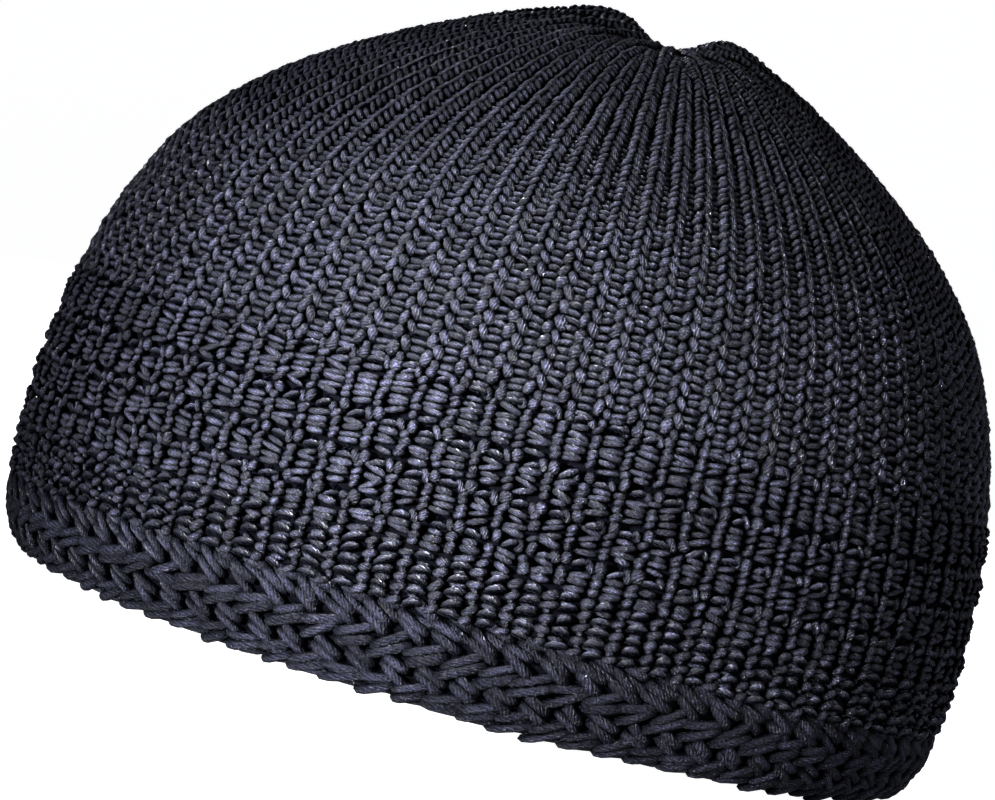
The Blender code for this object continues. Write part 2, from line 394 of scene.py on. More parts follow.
class KufiStage(bpy.types.PropertyGroup):
    """The camera, lights and floor."""

    lens: bpy.props.FloatProperty(name="Lens", description="Focal length in millimetres", default=119.9)
    distance: size("Camera distance", "From the cap's middle to the camera", 0.70)
    camera_height: size("Camera height", "Height of the camera over the floor", 0.10)
    aim_along: size("Aim along", "Where the camera aims, along the cap", -0.0068)
    aim_height: size("Aim height", "Where the camera aims, above the floor", 0.0562)
    roll: turn("Roll", "How far the camera is rolled", 16.05)
    light_tint: color("Light tint", "Colour of the lights", (0.88, 0.91, 1.0))
    key_power: share("Key power", "Watts of the key light", 0.60)
    fill_power: share("Fill power", "Watts of the fill light", 4.2)
    back_power: share("Back power", "Watts of the light on the far side of the cap", 3.2)
    floor_power: share("Floor glow", "How brightly the floor and backdrop glow by themselves", 0.95)
    ambient: share("Ambient", "Strength of the light from all around", 0.05)
    sky: color("Sky", "Colour of the light from all around", (0.9, 0.94, 1.0))
    floor: color("Floor", "Colour of the floor and backdrop", (0.72, 0.72, 0.73))
    floor_width: size("Floor width", "Width of the floor and backdrop", 10.0)
    floor_near: size("Floor near", "Where the floor begins, before the cap", -3.0)
    floor_far: size("Floor far", "Where the floor starts to curve up, behind the cap", 1.6)
    floor_curve: size("Floor curve", "Radius of the curve from floor to backdrop", 1.2)
    floor_top: size("Backdrop top", "Height of the backdrop", 3.5)


class KufiSettings(bpy.types.PropertyGroup):
    """All the settings of the cap."""

    form: bpy.props.PointerProperty(type=KufiForm, name="Form", description="Sizes of the cap")
    knit: bpy.props.PointerProperty(type=KufiKnit, name="Knit", description="Sizes of the knitting")
    finish: bpy.props.PointerProperty(type=KufiFinish, name="Finish", description="Colours of the yarn")
    stage: bpy.props.PointerProperty(type=KufiStage, name="Stage", description="Camera, light and floor")


def named_rows(columns, rows):
    """A dictionary of columns, each an array with one value a row."""
    return dict(zip(columns, np.array(rows, dtype=float).T))


def unit(vectors):
    """Vectors scaled to a length of one."""
    return vectors / np.linalg.norm(vectors, axis=-1, keepdims=True)


def ease(value, start, end):
    """Smooth step from 0 at start to 1 at end."""
    t = np.clip((value - start) / (end - start), 0, 1)
    return t * t * (3 - 2 * t)


class Dome:
    """The smooth form of the cap. Ribs are counted from +X anticlockwise, seen from above."""

    def __init__(self, form):
        self.form = form
        self.half_length = form.cap_length / 2
        self.half_width = form.cap_width / 2
        self.girth, self.height, self.walked = self.outline()
        self.length = self.walked[-1]
        self.rim_height = form.lower_braid + form.gap + form.upper_braid
        self.edge = self.walked_at(self.rim_height + form.gap)
        self.crown_top = (self.length - self.edge) * CROWN_REACH
        angles = np.linspace(0, 2 * math.pi, ROUND_SAMPLES + 1)
        speed = np.hypot(self.half_length * np.sin(angles), self.half_width * np.cos(angles))
        along = np.concatenate([[0], np.cumsum((speed[1:] + speed[:-1]) / 2)])
        self.angles = angles
        self.share_round = along / along[-1]
        self.rib_pitch = along[-1] * (angles[1] - angles[0]) / form.rib_count

    def outline(self):
        """Radius share and height along the outline, with the distance walked from the rim."""
        table = named_rows(OUTLINE_COLUMNS, OUTLINE)
        points = np.stack([table["girth"], table["height"] * self.form.cap_height], axis=1)
        padded = np.vstack([2 * points[0] - points[1], points, points[-2] * (-1, 1)])
        t = np.linspace(0, 1, OUTLINE_SAMPLES, endpoint=False)[:, None]
        curve = []
        for before, start, end, after in zip(padded, padded[1:], padded[2:], padded[3:]):
            curve.append(
                start
                + 0.5 * t * (end - before)
                + t ** 2 * (before - 2.5 * start + 2 * end - 0.5 * after)
                + 0.5 * t ** 3 * (after - before + 3 * (start - end))
            )
        curve = np.vstack(curve + [points[-1:]])
        steps = np.diff(curve, axis=0) * (self.half_length, 1)
        walked = np.concatenate([[0], np.cumsum(np.hypot(steps[:, 0], steps[:, 1]))])
        return curve[:, 0], curve[:, 1], walked

    def angle(self, rib):
        """Angle round the oval of a rib's middle."""
        turns = np.asarray(rib, dtype=float) / self.form.rib_count % 1.0
        return np.interp(turns, self.share_round, self.angles)

    def walked_at(self, height):
        """Distance walked up the outline to reach a height on the sides of the dome."""
        sides = self.height < self.form.cap_height * SIDE_SHARE
        return np.interp(height, self.height[sides], self.walked[sides])

    def girth_at(self, walked):
        """Girth share at a distance walked up the outline."""
        return np.interp(walked, self.walked, self.girth)

    def reach_at(self, walked):
        """Mean radius of the dome at a distance walked up the outline."""
        return self.girth_at(walked) * (self.half_length + self.half_width) / 2

    def point(self, angle, walked):
        """Point of the dome at an angle and a distance walked up the outline."""
        form = self.form
        girth = self.girth_at(walked)
        height = np.interp(walked, self.walked, self.height)
        x = girth * self.half_length * np.cos(angle)
        y = girth * self.half_width * np.sin(angle)
        reach = np.hypot(x, y)
        hump = (reach / form.hump_distance) ** 2 * np.exp(1 - (reach / form.hump_distance) ** 2)
        dimple = np.exp(-(reach / form.dimple_radius) ** 2)
        height = height + form.hump_height * np.cos(2 * angle) * hump - form.dimple_depth * dimple
        gather = np.clip(1 - girth, 0, 1) ** 1.5
        return np.stack([x + form.gather_offset * gather, y, height], axis=-1)

    def axes(self, rib, walked):
        """Points of the dome with the directions outward, round (anticlockwise) and up the dome."""
        angle = self.angle(rib)
        walked = np.asarray(walked, dtype=float)
        before = self.point(angle - NORMAL_STEP, walked)
        round_way = unit(self.point(angle + NORMAL_STEP, walked) - before)
        ahead = np.minimum(walked + NORMAL_STEP, self.length * 0.9999)
        up = self.point(angle, ahead) - self.point(angle, walked - NORMAL_STEP)
        outward = unit(np.cross(round_way, up))
        return self.point(angle, walked), outward, round_way, np.cross(outward, round_way)

    def lift(self, rib):
        """Share by which courses near the rim ride up, highest over the ears."""
        return -np.cos(2 * self.angle(rib))

    def crown_walk(self, rib, distance):
        """Distance walked to a course of the crown, given its distance from the crown's wavy edge."""
        way = np.asarray(distance) / (self.length - self.edge)
        return self.edge + distance + self.form.course_lift * (1 - way) ** 3 * self.lift(rib)

    def rim_walk(self, rib, height):
        """Distance walked to a course of the rim, given its height where the rim isn't lifted."""
        lifted = height * (1 + self.form.course_lift / self.rim_height * self.lift(rib))
        return self.walked_at(lifted)

    def pleat(self, rib, walked):
        """How far the pleats sink a rib below the smooth dome."""
        form = self.form
        reach = self.reach_at(walked)
        depth = np.clip(1 - reach / form.pleat_reach, 0, 1) * np.clip(reach / form.dimple_radius, 0, 1)
        turns = 2 * math.pi * np.asarray(rib) / form.pleat_ribs
        return depth * form.pleat_depth * (1 - np.cos(turns)) / 2


class Yarn:
    """The grains of one piece: where each lies, which way it runs, how big it is and how it arches."""

    FIELDS = ("place", "along", "out", "size", "arch")

    def __init__(self, dome, seed, unevenness):
        self.dome = dome
        self.random = np.random.default_rng(seed)
        self.unevenness = unevenness
        self.grains = {field: [] for field in self.FIELDS}

    def uneven(self, way, like):
        """Random steps of about one way's spread, one for each grain."""
        return self.random.normal(0.0, SPREAD[way] * self.unevenness, np.shape(like))

    def lay(self, rib, walked, out, tilt, half, wide, thick, dip=0.0, arch=0.0, lean=0.0, inside=False):
        """Lays grains on the dome, each given by its rib, its distance walked and how far out it lies.

        tilt is the slant from upright, towards the right seen from outside. half, wide and thick are half
        a grain's length, width and depth. dip is the slope by which its upper end sinks. arch is how far
        its middle is raised, outward, or upward as lean goes from 0 to 1. inside turns it to face inward.
        """
        rib, walked, out, tilt, half, wide, thick, dip = np.broadcast_arrays(
            *(np.asarray(value, dtype=float) for value in (rib, walked, out, tilt, half, wide, thick, dip))
        )
        tilt = tilt + self.uneven("tilt", rib)
        out = out + self.uneven("out", rib)
        half = half * (1 + self.uneven("half", rib))
        wide = wide * (1 + self.uneven("wide", rib))
        place, outward, round_way, up = self.dome.axes(rib, walked)
        shift = self.uneven("round", rib)[..., None] * round_way + self.uneven("up", rib)[..., None] * up
        upright = np.cos(tilt)[..., None] * up + np.sin(tilt)[..., None] * round_way
        face = -outward if inside else outward
        self.grains["place"].append(place + shift + out[..., None] * outward)
        self.grains["along"].append(unit(upright - dip[..., None] * face))
        self.grains["out"].append(unit((1 - lean) * face + lean * up))
        self.grains["size"].append(np.stack([thick, wide, half], axis=-1))
        self.grains["arch"].append(np.full(rib.shape, float(arch)))

    def mesh(self, name):
        """A mesh of loose points that carry the grains' directions and sizes as attributes."""
        fields = {field: np.concatenate(parts) for field, parts in self.grains.items()}
        mesh = bpy.data.meshes.new(name)
        mesh.from_pydata(fields["place"].tolist(), [], [])
        for field in self.FIELDS[1:]:
            values = fields[field].astype(np.float32)
            kind, slot = ("FLOAT", "value") if values.ndim == 1 else ("FLOAT_VECTOR", "vector")
            mesh.attributes.new(field, kind, "POINT").data.foreach_set(slot, values.ravel())
        return mesh


def add_object(name, data):
    """Puts a mesh, a light or a camera in the scene."""
    added = bpy.data.objects.new(name, data)
    bpy.context.scene.collection.objects.link(added)
    return added


def new_node(tree, kind, **values):
    """Adds a node. Values name its own settings or, for sockets, their default values."""
    node = tree.nodes.new(kind)
    for name, value in values.items():
        if hasattr(node, name):
            setattr(node, name, value)
        else:
            node.inputs[name.replace("_", " ")].default_value = value
    return node


def calculate(tree, operation, first, second=None):
    """A math node's result from two sockets or numbers."""
    node = new_node(tree, "ShaderNodeMath", operation=operation)
    for socket, value in zip(node.inputs, (first, second)):
        if isinstance(value, bpy.types.NodeSocket):
            tree.links.new(value, socket)
        elif value is not None:
            socket.default_value = value
    return node.outputs[0]


def separate(tree, vector):
    """The outputs X, Y and Z of a vector socket."""
    node = new_node(tree, "ShaderNodeSeparateXYZ")
    tree.links.new(vector, node.inputs["Vector"])
    return node.outputs


def weighted_sum(tree, *parts):
    """The sum of sockets, each given with its weight."""
    total = None
    for socket, weight in parts:
        weighed = calculate(tree, "MULTIPLY", socket, weight)
        total = weighed if total is None else calculate(tree, "ADD", total, weighed)
    return total


def store(tree, geometry, name, kind, domain, value):
    """Stores a named attribute and returns the geometry."""
    node = new_node(tree, "GeometryNodeStoreNamedAttribute", data_type=kind, domain=domain)
    node.inputs["Name"].default_value = name
    tree.links.new(geometry, node.inputs["Geometry"])
    tree.links.new(value, node.inputs["Value"])
    return node.outputs["Geometry"]


def named(tree, name, kind):
    """Reads a named attribute."""
    node = new_node(tree, "GeometryNodeInputNamedAttribute", data_type=kind)
    node.inputs["Name"].default_value = name
    return node.outputs["Attribute"]


TREE_INPUTS = (
    ("Points", "NodeSocketGeometry", None),
    ("Sides", "NodeSocketInt", 6),
    ("Rings", "NodeSocketInt", 4),
    ("Fullness", "NodeSocketFloat", 0.2),
    ("Seed", "NodeSocketInt", 0),
    ("Material", "NodeSocketMaterial", None),
)


def grain_tree():
    """The Geometry Nodes tree that sets a grain of yarn on each point."""
    tree = bpy.data.node_groups.new("Yarn Grains", "GeometryNodeTree")
    for name, kind, default in TREE_INPUTS:
        socket = tree.interface.new_socket(name, in_out="INPUT", socket_type=kind)
        if default is not None:
            socket.default_value = default
    tree.interface.new_socket("Yarn", in_out="OUTPUT", socket_type="NodeSocketGeometry")
    start = tree.nodes.new("NodeGroupInput").outputs
    link = tree.links.new

    sphere = new_node(tree, "GeometryNodeMeshUVSphere")
    link(start["Sides"], sphere.inputs["Segments"])
    link(start["Rings"], sphere.inputs["Rings"])
    grain = store(tree, sphere.outputs["Mesh"], "yarn_uv", "FLOAT2", "CORNER", sphere.outputs["UV Map"])
    split = separate(tree, new_node(tree, "GeometryNodeInputPosition").outputs["Position"])
    run = split["Z"]
    grain = store(tree, grain, "run", "FLOAT", "POINT", run)
    # rise is how far out each point of a grain lies; the yarn's colour is painted dark where it is low, as
    # shade
    grain = store(tree, grain, "rise", "FLOAT", "POINT", split["X"])
    swell = calculate(tree, "MULTIPLY", calculate(tree, "MULTIPLY", run, run), start["Fullness"])
    swell = calculate(tree, "ADD", swell, 1.0)
    full = new_node(tree, "ShaderNodeCombineXYZ")
    for axis in "XY":
        link(calculate(tree, "MULTIPLY", split[axis], swell), full.inputs[axis])
    link(run, full.inputs["Z"])
    shaped = new_node(tree, "GeometryNodeSetPosition")
    link(grain, shaped.inputs["Geometry"])
    link(full.outputs["Vector"], shaped.inputs["Position"])

    chance = new_node(tree, "FunctionNodeRandomValue", data_type="FLOAT")
    link(start["Seed"], chance.inputs["Seed"])
    points = store(tree, start["Points"], "tone", "FLOAT", "POINT", chance.outputs[1])
    facing = new_node(tree, "FunctionNodeAxesToRotation", primary_axis="Z", secondary_axis="X")
    link(named(tree, "along", "FLOAT_VECTOR"), facing.inputs["Primary Axis"])
    link(named(tree, "out", "FLOAT_VECTOR"), facing.inputs["Secondary Axis"])
    laid = new_node(tree, "GeometryNodeInstanceOnPoints")
    link(points, laid.inputs["Points"])
    link(shaped.outputs["Geometry"], laid.inputs["Instance"])
    link(facing.outputs["Rotation"], laid.inputs["Rotation"])
    link(named(tree, "size", "FLOAT_VECTOR"), laid.inputs["Scale"])
    real = new_node(tree, "GeometryNodeRealizeInstances")
    link(laid.outputs["Instances"], real.inputs["Geometry"])

    run_here = named(tree, "run", "FLOAT")
    crest = calculate(tree, "SUBTRACT", 1.0, calculate(tree, "MULTIPLY", run_here, run_here))
    raised = new_node(tree, "ShaderNodeVectorMath", operation="SCALE")
    link(named(tree, "out", "FLOAT_VECTOR"), raised.inputs[0])
    link(calculate(tree, "MULTIPLY", crest, named(tree, "arch", "FLOAT")), raised.inputs["Scale"])
    arched = new_node(tree, "GeometryNodeSetPosition")
    link(real.outputs["Geometry"], arched.inputs["Geometry"])
    link(raised.outputs["Vector"], arched.inputs["Offset"])
    smooth = new_node(tree, "GeometryNodeSetShadeSmooth")
    link(arched.outputs["Geometry"], smooth.inputs["Geometry"])
    painted = new_node(tree, "GeometryNodeSetMaterial")
    link(smooth.outputs["Geometry"], painted.inputs["Geometry"])
    link(start["Material"], painted.inputs["Material"])
    link(painted.outputs["Geometry"], tree.nodes.new("NodeGroupOutput").inputs["Yarn"])
    return tree


def knit(name, yarn, material, sides=6, rings=4, fullness=0.2):
    """Sets grains on a piece's points and returns the piece as a plain mesh.

    sides and rings are a grain's faces round it and along it. fullness is how blunt its ends are.
    """
    tree = bpy.data.node_groups.get("Yarn Grains") or grain_tree()
    points = add_object(name + "_points", yarn.mesh(name + "_points"))
    modifier = points.modifiers.new("Yarn Grains", "NODES")
    modifier.node_group = tree
    values = {"Sides": sides, "Rings": rings, "Fullness": fullness, "Seed": len(name), "Material": material}
    for item in tree.interface.items_tree:
        if item.item_type == "SOCKET" and item.name in values:
            modifier[item.identifier] = values[item.name]
    bpy.context.view_layer.update()
    mesh = bpy.data.meshes.new_from_object(points.evaluated_get(bpy.context.evaluated_depsgraph_get()))
    bpy.data.objects.remove(points)
    for field in ("along", "out", "size", "arch", "run"):
        spent = mesh.attributes.get(field)
        if spent:
            mesh.attributes.remove(spent)
    mesh.name = name
    mesh.materials.clear()
    mesh.materials.append(material)
    mesh.polygons.foreach_set("material_index", [0] * len(mesh.polygons))
    if not mesh.polygons:
        raise RuntimeError(name + " has no yarn")
    return add_object(name, mesh)


def fit(piece, node):
    """Makes a piece ride on the cap and stand for a solid, whose own part it hides."""
    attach(piece, BODY)
    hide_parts(node)


def principled(name):
    """A new material with its node tree and its Principled BSDF."""
    material = bpy.data.materials.new(name)
    material.use_nodes = True
    return material, material.node_tree, material.node_tree.nodes["Principled BSDF"]


def set_yarn_shader(shader, finish, gloss):
    """The satin of the yarn: the same all over, so it is set on the shader's own sockets."""
    shader.inputs["Specular IOR Level"].default_value = gloss
    shader.inputs["Sheen Weight"].default_value = 0.01
    shader.inputs["Sheen Roughness"].default_value = 0.45
    shader.inputs["Sheen Tint"].default_value = (*finish.sheen, 1.0)


def set_bump(tree, shader, height, distance):
    """Raises a surface by a height socket times a distance in metres."""
    bump = new_node(tree, "ShaderNodeBump", Strength=1.0, Distance=distance)
    tree.links.new(height, bump.inputs["Height"])
    tree.links.new(bump.outputs["Normal"], shader.inputs["Normal"])


def noise(tree, vector, scale, detail=2.0):
    """A noise texture's value."""
    node = new_node(tree, "ShaderNodeTexNoise", Scale=scale, Detail=detail)
    tree.links.new(vector, node.inputs["Vector"])
    return node.outputs["Fac"]


def remap(tree, value, span, new_span=(0.0, 1.0)):
    """Maps a value from one range to another, and keeps it there."""
    node = new_node(tree, "ShaderNodeMapRange")
    for socket, number in zip(node.inputs[1:5], (*span, *new_span)):
        socket.default_value = number
    tree.links.new(value, node.inputs["Value"])
    return node.outputs["Result"]


def mix_colors(tree, factor, first, second):
    """A colour between two colours."""
    node = new_node(tree, "ShaderNodeMix", data_type="RGBA")
    node.inputs[6].default_value = (*first, 1.0)
    node.inputs[7].default_value = (*second, 1.0)
    tree.links.new(factor, node.inputs[0])
    return node.outputs[2]


def yarn_material(name, finish):
    """Satin yarn of twisted plies and bright specks. Some grains are lighter than others.

    Specks and plies also lighten and darken its colour, as painted glints and painted ply highlights with
    painted shade between them. Deep between its neighbours a grain is painted black and metallic, as
    painted shade, because a black metal mirrors nothing. The bands' copy is painted lighter, the braids'
    copy darker.
    """
    twist, painted_lightness, gloss = YARNS[name]
    material, tree, shader = principled(name)
    set_yarn_shader(shader, finish, gloss)
    place = new_node(tree, "ShaderNodeTexCoord").outputs["Object"]
    uv = new_node(tree, "ShaderNodeUVMap", uv_map="yarn_uv").outputs["UV"]
    tone, rise = (
        new_node(tree, "ShaderNodeAttribute", attribute_name=field).outputs["Fac"]
        for field in ("tone", "rise")
    )
    wear = noise(tree, place, WEAR_SCALE, 3.0)
    specks = remap(tree, noise(tree, place, SPECK_SCALE, 3.0), SPECK_SPAN)
    around = separate(tree, uv)
    turns = weighted_sum(tree, (around["X"], PLY_COUNT), (around["Y"], twist), (specks, PLY_WAVER))
    plies = calculate(tree, "SINE", calculate(tree, "MULTIPLY", turns, 2 * math.pi))

    # Specks and plies lighten the colour as painted glints and ply highlights; tone and wear are the yarn's
    # own
    parts = {"tone": tone, "wear": wear, "specks": specks, "plies": plies}
    level = weighted_sum(tree, *((parts[part], weight) for part, weight in LIGHTNESS.items()))
    level = remap(tree, level, LIGHTNESS_SPAN)
    level = calculate(tree, "MULTIPLY", level, level)
    # Painted shade: the colour goes to black towards a grain's sides, deep between its neighbours
    crest = remap(tree, rise, CREVICE_SHADE_SPAN)
    level = calculate(tree, "MULTIPLY", level, calculate(tree, "MULTIPLY", crest, crest))
    # The bands' copy is painted lighter and the braids' copy darker, standing in for how light falls on them
    light = tuple(channel * painted_lightness for channel in finish.light)
    tree.links.new(mix_colors(tree, level, finish.shade, light), shader.inputs["Base Color"])
    # Painted shade in reflections: deep down the yarn is metallic with a near-black colour, so it mirrors
    # nothing
    depth = remap(tree, rise, SHADE_SPAN, (1.0, 0.0))
    tree.links.new(depth, shader.inputs["Metallic"])
    rough = remap(tree, specks, (0.0, 1.0), ROUGHNESS)
    tree.links.new(calculate(tree, "MAXIMUM", rough, depth), shader.inputs["Roughness"])
    set_bump(tree, shader, weighted_sum(tree, (plies, PLY_HEIGHT), (specks, 1.0)), finish.yarn_bump)
    return material


def backing_material(name, finish):
    """The knitting seen in the depth between the outer loops, and on the inside of the wall, coloured near
    black as painted shade and darker still where its relief is low.
    """
    material, tree, shader = principled(name)
    shader.inputs["Specular IOR Level"].default_value = BACKING_GLOSS
    shader.inputs["Roughness"].default_value = BACKING_ROUGHNESS
    place = new_node(tree, "ShaderNodeTexCoord").outputs["Object"]
    uv = new_node(tree, "ShaderNodeUVMap", uv_map="stitch_uv").outputs["UV"]
    around = separate(tree, uv)
    across = calculate(tree, "PINGPONG", around["X"], 0.5)
    slanted = calculate(tree, "ADD", around["Y"], across)
    rows = calculate(tree, "ABSOLUTE", calculate(tree, "SINE", calculate(tree, "MULTIPLY", slanted, math.pi)))
    specks = noise(tree, place, BACKING_SPECK_SCALE)
    height = weighted_sum(tree, (rows, 1.0), (specks, BACKING_SPECK_HEIGHT))
    set_bump(tree, shader, height, finish.backing_bump)
    darkest = tuple(channel * BACKING_DARKEST for channel in finish.shade)
    level = remap(tree, height, BACKING_SPAN)
    tree.links.new(mix_colors(tree, level, darkest, finish.shade), shader.inputs["Base Color"])
    return material


def shared_material(name, finish):
    """A material that several pieces share, made when it is first asked for."""
    make = yarn_material if name in YARNS else backing_material
    return bpy.data.materials.get(name) or make(name, finish)


def shell(name, outer, inner, ribs, pitch, material, capped):
    """A closed wall between two grids of points, each with a row for each course, from the lower edge.

    The grids run anticlockwise. A capped wall ends in a point at the top, and any other in a flat edge.
    """
    rows, columns = outer.shape[:2]
    corners = [outer.reshape(-1, 3), inner.reshape(-1, 3)]
    around = np.arange(columns)
    onward = (around + 1) % columns
    faces = []
    uvs = []
    second = rows * columns

    def strip(low, high, low_v, high_v, flip):
        """Adds the faces between two rings of corners, given by the first corner of each."""
        left = around * ribs / columns
        right = (around + 1) * ribs / columns
        for index in range(columns):
            face = [low + around[index], low + onward[index], high + onward[index], high + around[index]]
            uv = [(left[index], low_v), (right[index], low_v), (right[index], high_v), (left[index], high_v)]
            faces.append(face[::-1] if flip else face)
            uvs.extend(uv[::-1] if flip else uv)

    for row in range(rows - 1):
        low_v, high_v = row * pitch, (row + 1) * pitch
        strip(row * columns, (row + 1) * columns, low_v, high_v, False)
        strip(second + row * columns, second + (row + 1) * columns, low_v, high_v, True)
    strip(0, second, 0.0, pitch, True)
    if capped:
        tips = [grid[-1].mean(axis=0) for grid in (outer, inner)]
        corners.append(np.array(tips))
        for grid, tip, flip in ((0, 2 * second, False), (second, 2 * second + 1, True)):
            last = grid + (rows - 1) * columns
            for index in range(columns):
                face = [last + around[index], last + onward[index], tip]
                faces.append(face[::-1] if flip else face)
                uvs.extend([(0.0, 0.0)] * 3)
    else:
        strip((rows - 1) * columns, second + (rows - 1) * columns, 0.0, pitch, False)
    mesh = bpy.data.meshes.new(name)
    faces = [[int(corner) for corner in face] for face in faces]
    mesh.from_pydata(np.concatenate(corners).tolist(), [], faces)
    layer = mesh.uv_layers.new(name="stitch_uv")
    layer.data.foreach_set("uv", np.array(uvs, dtype=np.float32).ravel())
    mesh.shade_smooth()
    mesh.materials.append(material)
    return add_object(name, mesh)


def row_list():
    """Every row below the ribs, as its kind, its middle's distance from the crown's edge and its pitch."""
    rows = []
    distance = 0.0
    for kind, number, pitch in ROWS:
        for _ in range(number):
            rows.append((kind, distance + pitch / 2, pitch))
            distance += pitch
    return rows, distance


def course_list(dome):
    """Every course of the ribs, as its middle's distance from the crown's edge and its pitch."""
    table = named_rows(PITCH_COLUMNS, PITCHES)
    height = dome.length - dome.edge
    distance = row_list()[1]
    courses = []
    while distance < height:
        pitch = np.interp(distance / height, table["way"], table["pitch"])
        courses.append((distance + pitch / 2, pitch))
        distance += pitch
    return courses


def loose_depth(distance):
    """Share from 0 to 1 by which the backing sinks behind the loose rows."""
    depth = np.zeros(np.shape(distance))
    for kind, middle, pitch in row_list()[0]:
        if kind == "loose":
            depth = np.maximum(depth, 1 - ease(np.abs(distance - middle) / pitch, *LOOSE_SPAN))
    return depth


def rib_places(dome, walked):
    """Each rib that shows at a distance walked up the dome: its place in ribs and its width in metres.

    As the ribs crowd towards the gather, the deepest rib of each pleat hides first, then the two
    beside it, and the ribs that are left spread over the room.
    """
    pitch = dome.girth_at(walked) * dome.rib_pitch
    deep = 1 - ease(pitch, *DEEP_HIDES)
    beside = 1 - ease(pitch, *BESIDE_HIDES)
    total = 1 + 2 * beside + deep
    widths = np.array([1.0, beside, deep, beside]) * 4 / total
    places = np.array([0.0, (widths[0] + widths[1]) / 2, 2.0, 4 - (widths[0] + widths[1]) / 2])
    pleats = np.arange(0, dome.form.rib_count, len(widths))
    ribs = (pleats[:, None] + places[None, :]).ravel()
    wide = np.tile(widths, len(pleats)) * pitch
    shown = wide > LEAST_RIB
    return ribs[shown], wide[shown]


class KufiStep:
    """What the operators share."""

    bl_options = {"REGISTER", "UNDO"}

    def prepare(self, context, seed=0):
        """The settings, the dome and an empty yarn."""
        settings = context.scene.kufi
        dome = Dome(settings.form)
        return settings, dome, Yarn(dome, settings.knit.seed + seed, settings.knit.unevenness)

    def knit_crown(self, name, yarn, finish, material="satin_knit_yarn", **grain):
        """Knits one piece of the crown."""
        fit(knit(name, yarn, shared_material(material, finish), **grain), "crown")


class KUFI_OT_crown_wall(KufiStep, bpy.types.Operator):
    """Lay the backing of the crown, which shows between its loops and from inside"""

    bl_idname = "kufi.crown_wall"
    bl_label = "Crown Wall"

    def execute(self, context):
        settings, dome, _ = self.prepare(context)
        form = settings.form
        rib = np.arange(WALL_COLUMNS * form.rib_count)[None, :] / WALL_COLUMNS
        distance = np.linspace(0.0, dome.crown_top, WALL_ROWS)[:, None]
        walked = dome.crown_walk(rib, distance)
        place, outward, _, _ = dome.axes(np.broadcast_to(rib, walked.shape), walked)
        ribbed = ease(dome.girth_at(walked) * dome.rib_pitch, *GROOVE_SPAN)
        between = (1 - np.cos(2 * math.pi * rib)) / 2 * ribbed
        pleat = WALL_PLEAT * dome.pleat(rib, walked)
        deep = settings.knit.backing + GROOVE * between + LOOSE_GROOVE * loose_depth(distance)
        outer = place - (deep + pleat)[..., None] * outward
        inner = place - (form.wall + INNER_GROOVE * between + pleat)[..., None] * outward
        # The backing is near black, as painted shade in the depth between the loops and on the inside
        material = shared_material("dark_backing_yarn", settings.finish)
        pitch = distance[1, 0] / settings.knit.bar_pitch / 2
        fit(shell("crown_wall", outer, inner, form.rib_count, pitch, material, True), "crown")
        return {"FINISHED"}


def lay_row(yarn, dome, kind, distance, pitch):
    """Lays the loops of one row, whose middle lies at a distance from the crown's edge."""
    ribs = np.arange(dome.form.rib_count, dtype=float)
    for values in LOOPS[kind]:
        loop = dict(zip(LOOP_COLUMNS, values))
        place = ribs + loop["rib"]
        yarn.lay(
            place,
            dome.crown_walk(place, distance + loop["rise"] * pitch),
            loop["out"],
            math.radians(loop["tilt"]),
            loop["half"] + loop["half_share"] * pitch,
            loop["wide"] + loop["wide_share"] * pitch,
            loop["thick"],
            arch=loop["arch"],
            lean=loop["lean"],
        )


def lay_rows(yarn, dome, kinds):
    """Lays every row of some kinds, from the crown's edge upward."""
    for kind, distance, pitch in row_list()[0]:
        if kind in kinds:
            lay_row(yarn, dome, kind, distance, pitch)


class KUFI_OT_edge_courses(KufiStep, bpy.types.Operator):
    """Knit the five plain courses over the braids: an arch and a slanted loop at each rib"""

    bl_idname = "kufi.edge_courses"
    bl_label = "Edge Courses"

    def execute(self, context):
        settings, dome, yarn = self.prepare(context, 1)
        yarn.unevenness *= settings.knit.edge_unevenness
        lay_rows(yarn, dome, ("edge",))
        self.knit_crown("edge_courses", yarn, settings.finish, rings=5)
        return {"FINISHED"}


class KUFI_OT_banded_courses(KufiStep, bpy.types.Operator):
    """Knit the bands on the sides: fine rows of bars and beads, parted by loose open rows"""

    bl_idname = "kufi.banded_courses"
    bl_label = "Banded Courses"

    def execute(self, context):
        settings, dome, yarn = self.prepare(context, 2)
        yarn.unevenness *= settings.knit.band_unevenness
        lay_rows(yarn, dome, ("fine", "loose"))
        # The bands take a copy of the knit yarn that is painted lighter, as painted light
        self.knit_crown("banded_courses", yarn, settings.finish, "satin_band_yarn")
        return {"FINISHED"}


def lay_legs(yarn, dome, sizes, low, high):
    """Lays the two staggered legs of every rib's stitches in the courses between two heights."""
    table = named_rows(LEG_COLUMNS, LEGS)
    for distance, pitch in course_list(dome):
        if not low <= distance < high:
            continue
        leg = {name: np.interp(pitch, table["pitch"], table[name]) for name in LEG_COLUMNS[1:]}
        walked = dome.edge + distance
        ribs, room = rib_places(dome, walked)
        wide = np.minimum(sizes.rib_width, sizes.rib_fill * room)
        # Where a rib is narrow its legs shrink too, but less than the rib does
        scale = (wide / sizes.rib_width) ** 0.75
        local_pitch = dome.girth_at(walked) * dome.rib_pitch
        for side in (-1, 1):
            place = ribs + side * leg["aside"] * wide / local_pitch
            way = dome.crown_walk(place, distance + (side + 1) * pitch / 4)
            yarn.lay(
                place,
                way,
                sizes.leg_out - leg["thick"] * scale - dome.pleat(ribs, way),
                -side * math.radians(leg["tilt"]),
                leg["half"] * scale ** 0.8,
                leg["wide"] * scale ** 0.6,
                leg["thick"] * scale,
                dip=-leg["rise"],
                arch=LEG_ARCH,
            )


